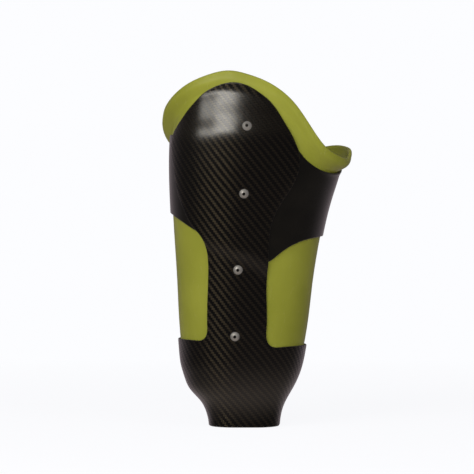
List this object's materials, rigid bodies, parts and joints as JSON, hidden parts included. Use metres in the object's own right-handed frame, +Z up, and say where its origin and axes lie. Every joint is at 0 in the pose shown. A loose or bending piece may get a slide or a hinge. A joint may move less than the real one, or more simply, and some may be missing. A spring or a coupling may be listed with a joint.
{
  "type": "transfemoral prosthetic socket",
  "caption": "Above-knee prosthetic socket: flexible inner socket in a carbon frame with a lateral strut, a proximal band, screws, an expulsion valve and a base plate.",
  "frame": {"origin": "centre of the base plate's lower face", "axes": "+Z up along the thigh, +X posterior, +Y medial, -Y lateral (left leg)"},
  "size_m": [0.2009, 0.1617, 0.37],
  "materials": {
    "flexible_socket": "satin olive green flexible thermoplastic",
    "carbon_twill": "two by two twill carbon fibre laminate under gloss resin",
    "carbon_smooth": "black carbon laminate under gloss resin",
    "soft_pad": "soft silicone foam",
    "rigid_foam": "rigid polyurethane foam",
    "plate_aluminium": "machined, anodised",
    "stainless_steel": "satin stainless steel",
    "black_rubber": "matt nitrile rubber",
    "valve_body": "black acetal",
    "valve_ring": "grey anodised, scalloped rim",
    "valve_button": "red moulded button"
  },
  "bodies": {
    "socket": {"inner_socket": "flexible_socket", "carbon_frame": "carbon_twill", "proximal_band": "carbon_smooth", "distal_end_pad": "soft_pad", "distal_filler": "rigid_foam", "attachment_plate": "plate_aluminium", "valve_seat": "valve_body", "lateral_screw_1": "stainless_steel", "lateral_nut_1": "stainless_steel", "lateral_washer_1": "black_rubber", "lateral_screw_2": "stainless_steel", "lateral_nut_2": "stainless_steel", "lateral_washer_2": "black_rubber", "lateral_screw_3": "stainless_steel", "lateral_nut_3": "stainless_steel", "lateral_washer_3": "black_rubber", "lateral_screw_4": "stainless_steel", "lateral_nut_4": "stainless_steel", "lateral_washer_4": "black_rubber", "medial_screw_1": "stainless_steel", "medial_nut_1": "stainless_steel", "medial_washer_1": "black_rubber", "medial_screw_2": "stainless_steel", "medial_nut_2": "stainless_steel", "medial_washer_2": "black_rubber"},
    "cartridge": {"valve_cartridge": "valve_body", "valve_o_ring": "black_rubber", "valve_spring": "stainless_steel"},
    "lock_ring": {"valve_lock_ring": "valve_ring"},
    "button": {"valve_button": "valve_button", "valve_flap": "black_rubber", "valve_clip": "stainless_steel"}
  },
  "joints": [
    {"name": "valve_cartridge_pull", "type": "slide", "parent": "socket", "child": "cartridge", "axis": [0, 1, 0], "range_m": [0, 0.03]},
    {"name": "valve_lock_ring_turn", "type": "hinge", "parent": "cartridge", "child": "lock_ring", "pos_m": [-0.0029, 0.056, 0.078], "axis": [0, 1, 0], "range_deg": [0, 60]},
    {"name": "valve_button_press", "type": "slide", "parent": "cartridge", "child": "button", "axis": [0, -1, 0], "range_m": [0, 0.002], "stiffness_N_per_m": 600, "deforming": ["valve_spring"]}
  ]
}
